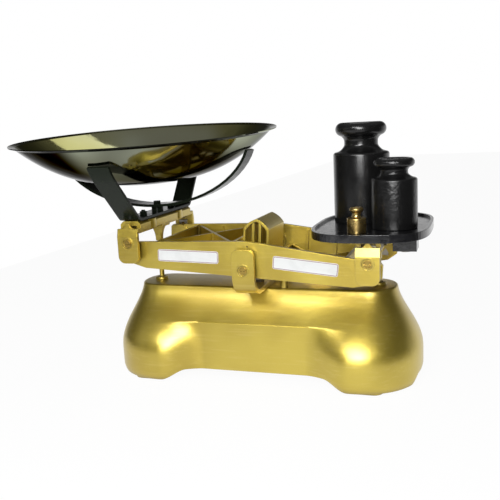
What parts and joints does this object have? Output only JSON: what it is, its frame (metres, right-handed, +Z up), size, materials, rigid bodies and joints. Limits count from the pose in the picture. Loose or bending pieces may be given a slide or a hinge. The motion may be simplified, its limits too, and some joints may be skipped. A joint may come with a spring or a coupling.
{
  "type": "weighing scale",
  "caption": "Counter scale with a cast waisted base, a braced rocking beam on knife edges, a spun bowl on a strap spider and a weight plate with knob weights.",
  "frame": {"origin": "bottom centre of the box round the whole scale as it stands", "axes": "X runs along the beam from the bowl's end to the weights' end, Y from front to back, Z up"},
  "size_m": [0.626, 0.401, 0.3703],
  "materials": {
    "gold_paint": "satin metallic gold paint on rough castings",
    "black_strap": "glossy black paint on strap iron",
    "black_enamel": "semi-gloss black enamel",
    "weight_iron": "satin black japanned iron",
    "weight_brass": "turned brass, lightly tarnished",
    "bowl_steel": "polished stainless sheet",
    "screw_steel": "plated steel",
    "plain_steel": "bare ground steel"
  },
  "bodies": {
    "base": {"base_casting": "gold_paint", "centre_stand": "gold_paint", "stand_bolts": "plain_steel", "stand_bearings": "plain_steel", "stand_bearing_screws": "screw_steel", "stop_pegs": "gold_paint", "stay_bracket": "gold_paint", "stay_pivot_pin": "plain_steel"},
    "beam": {"beam_casting": "gold_paint", "centre_knives": "plain_steel", "left_knives": "plain_steel", "right_knives": "plain_steel"},
    "left_carrier": {"left_carrier_frame": "gold_paint", "left_leg": "gold_paint", "left_bearings": "plain_steel", "left_bearing_screws": "screw_steel", "left_stay_pin": "plain_steel", "lower_strap": "black_strap", "upper_strap": "black_strap", "strap_spacer": "black_strap", "strap_bolts": "black_strap", "hub_bolt": "black_strap"},
    "right_carrier": {"right_carrier_frame": "gold_paint", "right_leg": "gold_paint", "right_bearings": "plain_steel", "right_bearing_screws": "screw_steel", "right_stay_pin": "plain_steel", "weight_plate": "black_enamel", "plate_bolts": "black_enamel", "right_leg_bolt": "black_enamel", "balance_box": "black_enamel", "balance_box_plug": "plain_steel"},
    "stay": {"stay_bar": "plain_steel"},
    "bowl": {"bowl": "bowl_steel"},
    "big_weight": {"weight_5kg": "weight_iron"},
    "middle_weight": {"weight_2kg": "weight_iron"},
    "small_weight": {"weight_200g": "weight_brass"}
  },
  "joints": [
    {"name": "beam_rock", "type": "hinge", "parent": "base", "child": "beam", "pos_m": [0.0693, -0.00005, 0.182], "axis": [0, -1, 0], "range_deg": [0, 8]},
    {"name": "left_carrier_swing", "type": "hinge", "parent": "beam", "child": "left_carrier", "pos_m": [-0.10029, -0.00005, 0.19386], "axis": [0, -1, 0], "range_deg": [-8, 0]},
    {"name": "right_carrier_swing", "type": "hinge", "parent": "beam", "child": "right_carrier", "pos_m": [0.23889, -0.00005, 0.17014], "axis": [0, -1, 0], "range_deg": [-8, 0]},
    {"name": "stay_rock", "type": "hinge", "parent": "base", "child": "stay", "pos_m": [0.0693, -0.00005, 0.06], "axis": [0, -1, 0], "range_deg": [0, 8]},
    {"name": "bowl_lift", "type": "slide", "parent": "left_carrier", "child": "bowl", "axis": [0, 0, 1], "range_m": [0, 0.12]},
    {"name": "big_weight_lift", "type": "slide", "parent": "right_carrier", "child": "big_weight", "axis": [0, 0, 1], "range_m": [0, 0.16]},
    {"name": "middle_weight_lift", "type": "slide", "parent": "right_carrier", "child": "middle_weight", "axis": [0, 0, 1], "range_m": [0, 0.16]},
    {"name": "small_weight_lift", "type": "slide", "parent": "right_carrier", "child": "small_weight", "axis": [0, 0, 1], "range_m": [0, 0.16]}
  ],
  "couplings": [
    {"joint": "left_carrier_swing", "follows": "beam_rock", "ratio": -1},
    {"joint": "right_carrier_swing", "follows": "beam_rock", "ratio": -1},
    {"joint": "stay_rock", "follows": "beam_rock", "ratio": 1}
  ]
}
